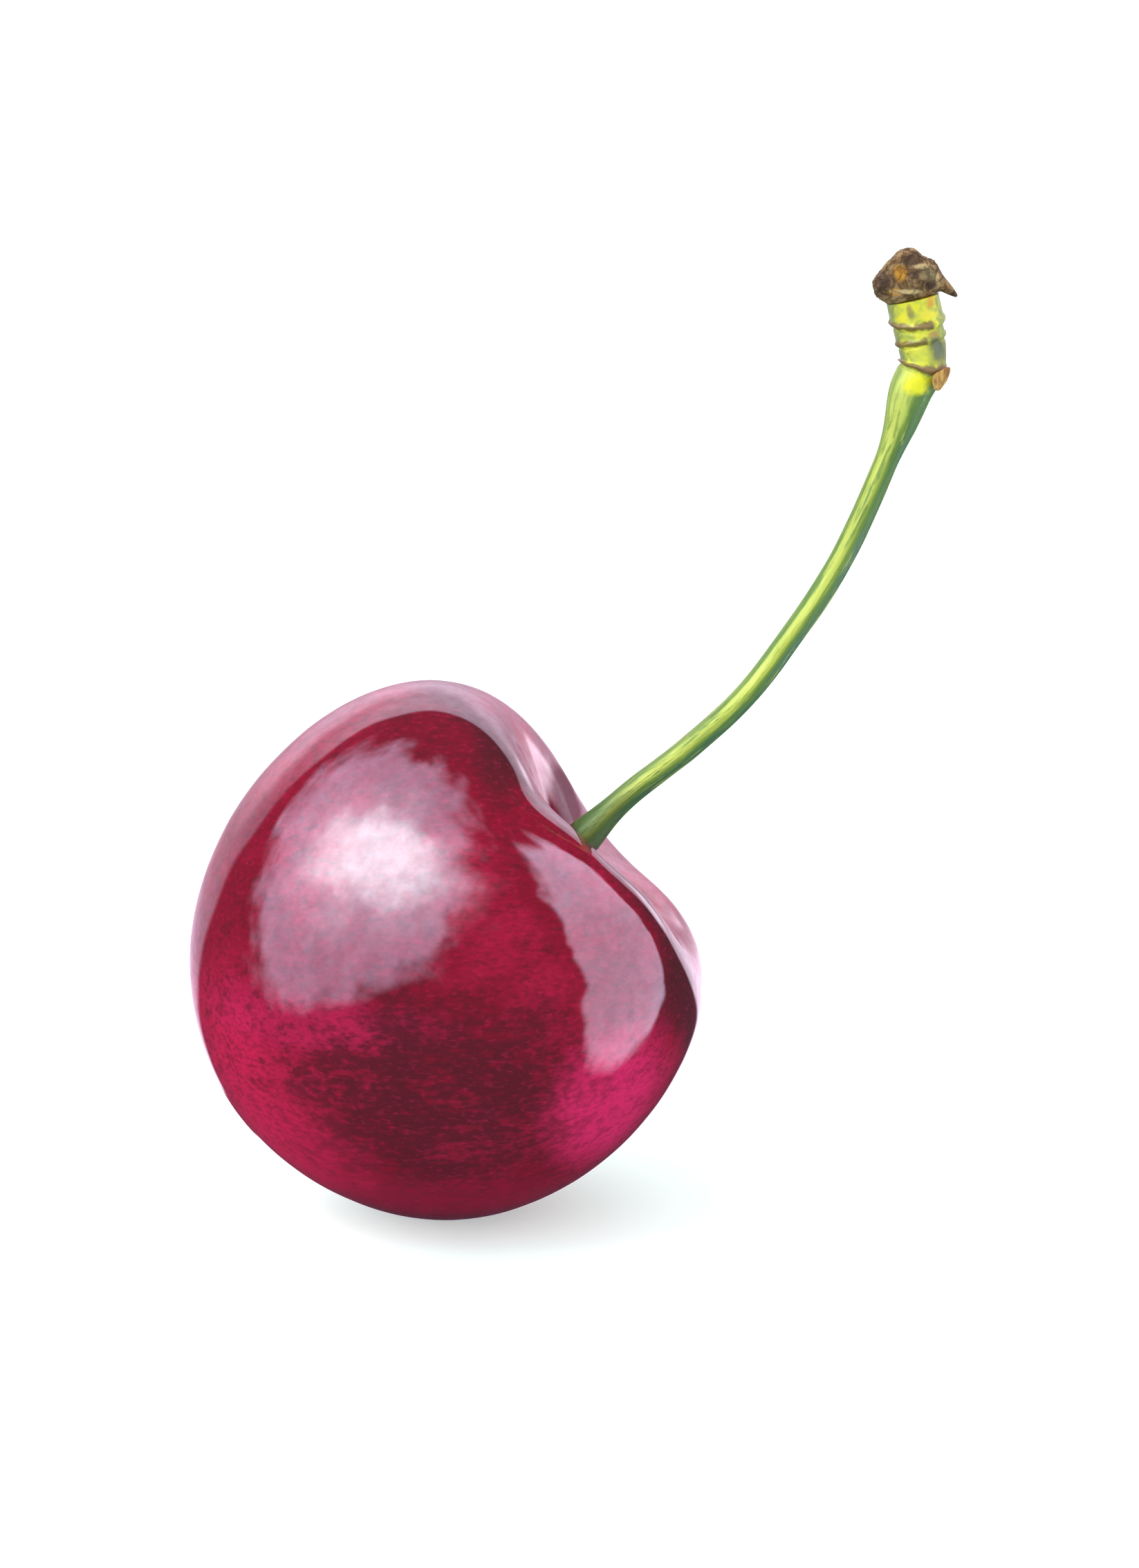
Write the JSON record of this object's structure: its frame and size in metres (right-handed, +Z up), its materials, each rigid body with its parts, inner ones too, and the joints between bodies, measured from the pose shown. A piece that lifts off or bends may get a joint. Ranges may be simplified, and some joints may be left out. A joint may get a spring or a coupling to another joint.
{
  "type": "cherry",
  "caption": "Whole fresh sweet cherry with its curved green stalk and woody spur remnant, resting on a small flat spot at the bottom of the fruit.",
  "frame": {"origin": "middle of the small flat spot that the fruit rests on", "axes": "+Z up; +X towards the side that the stalk leans to; +Y away from the face of the fruit that carries the seam"},
  "size_m": [0.0392, 0.0238, 0.0501],
  "materials": {
    "crimson_skin": "thin glossy fruit skin, deep crimson with a fine darker mottle",
    "green_bark": "fresh satin green stalk with fine lengthwise stripes",
    "brown_wood": "rough dull brown bark",
    "dry_scale": "dry matt tan scale"
  },
  "bodies": {
    "root": {"fruit": "crimson_skin", "stalk": "green_bark", "spur_cap": "brown_wood", "bract": "dry_scale"}
  },
  "joints": []
}
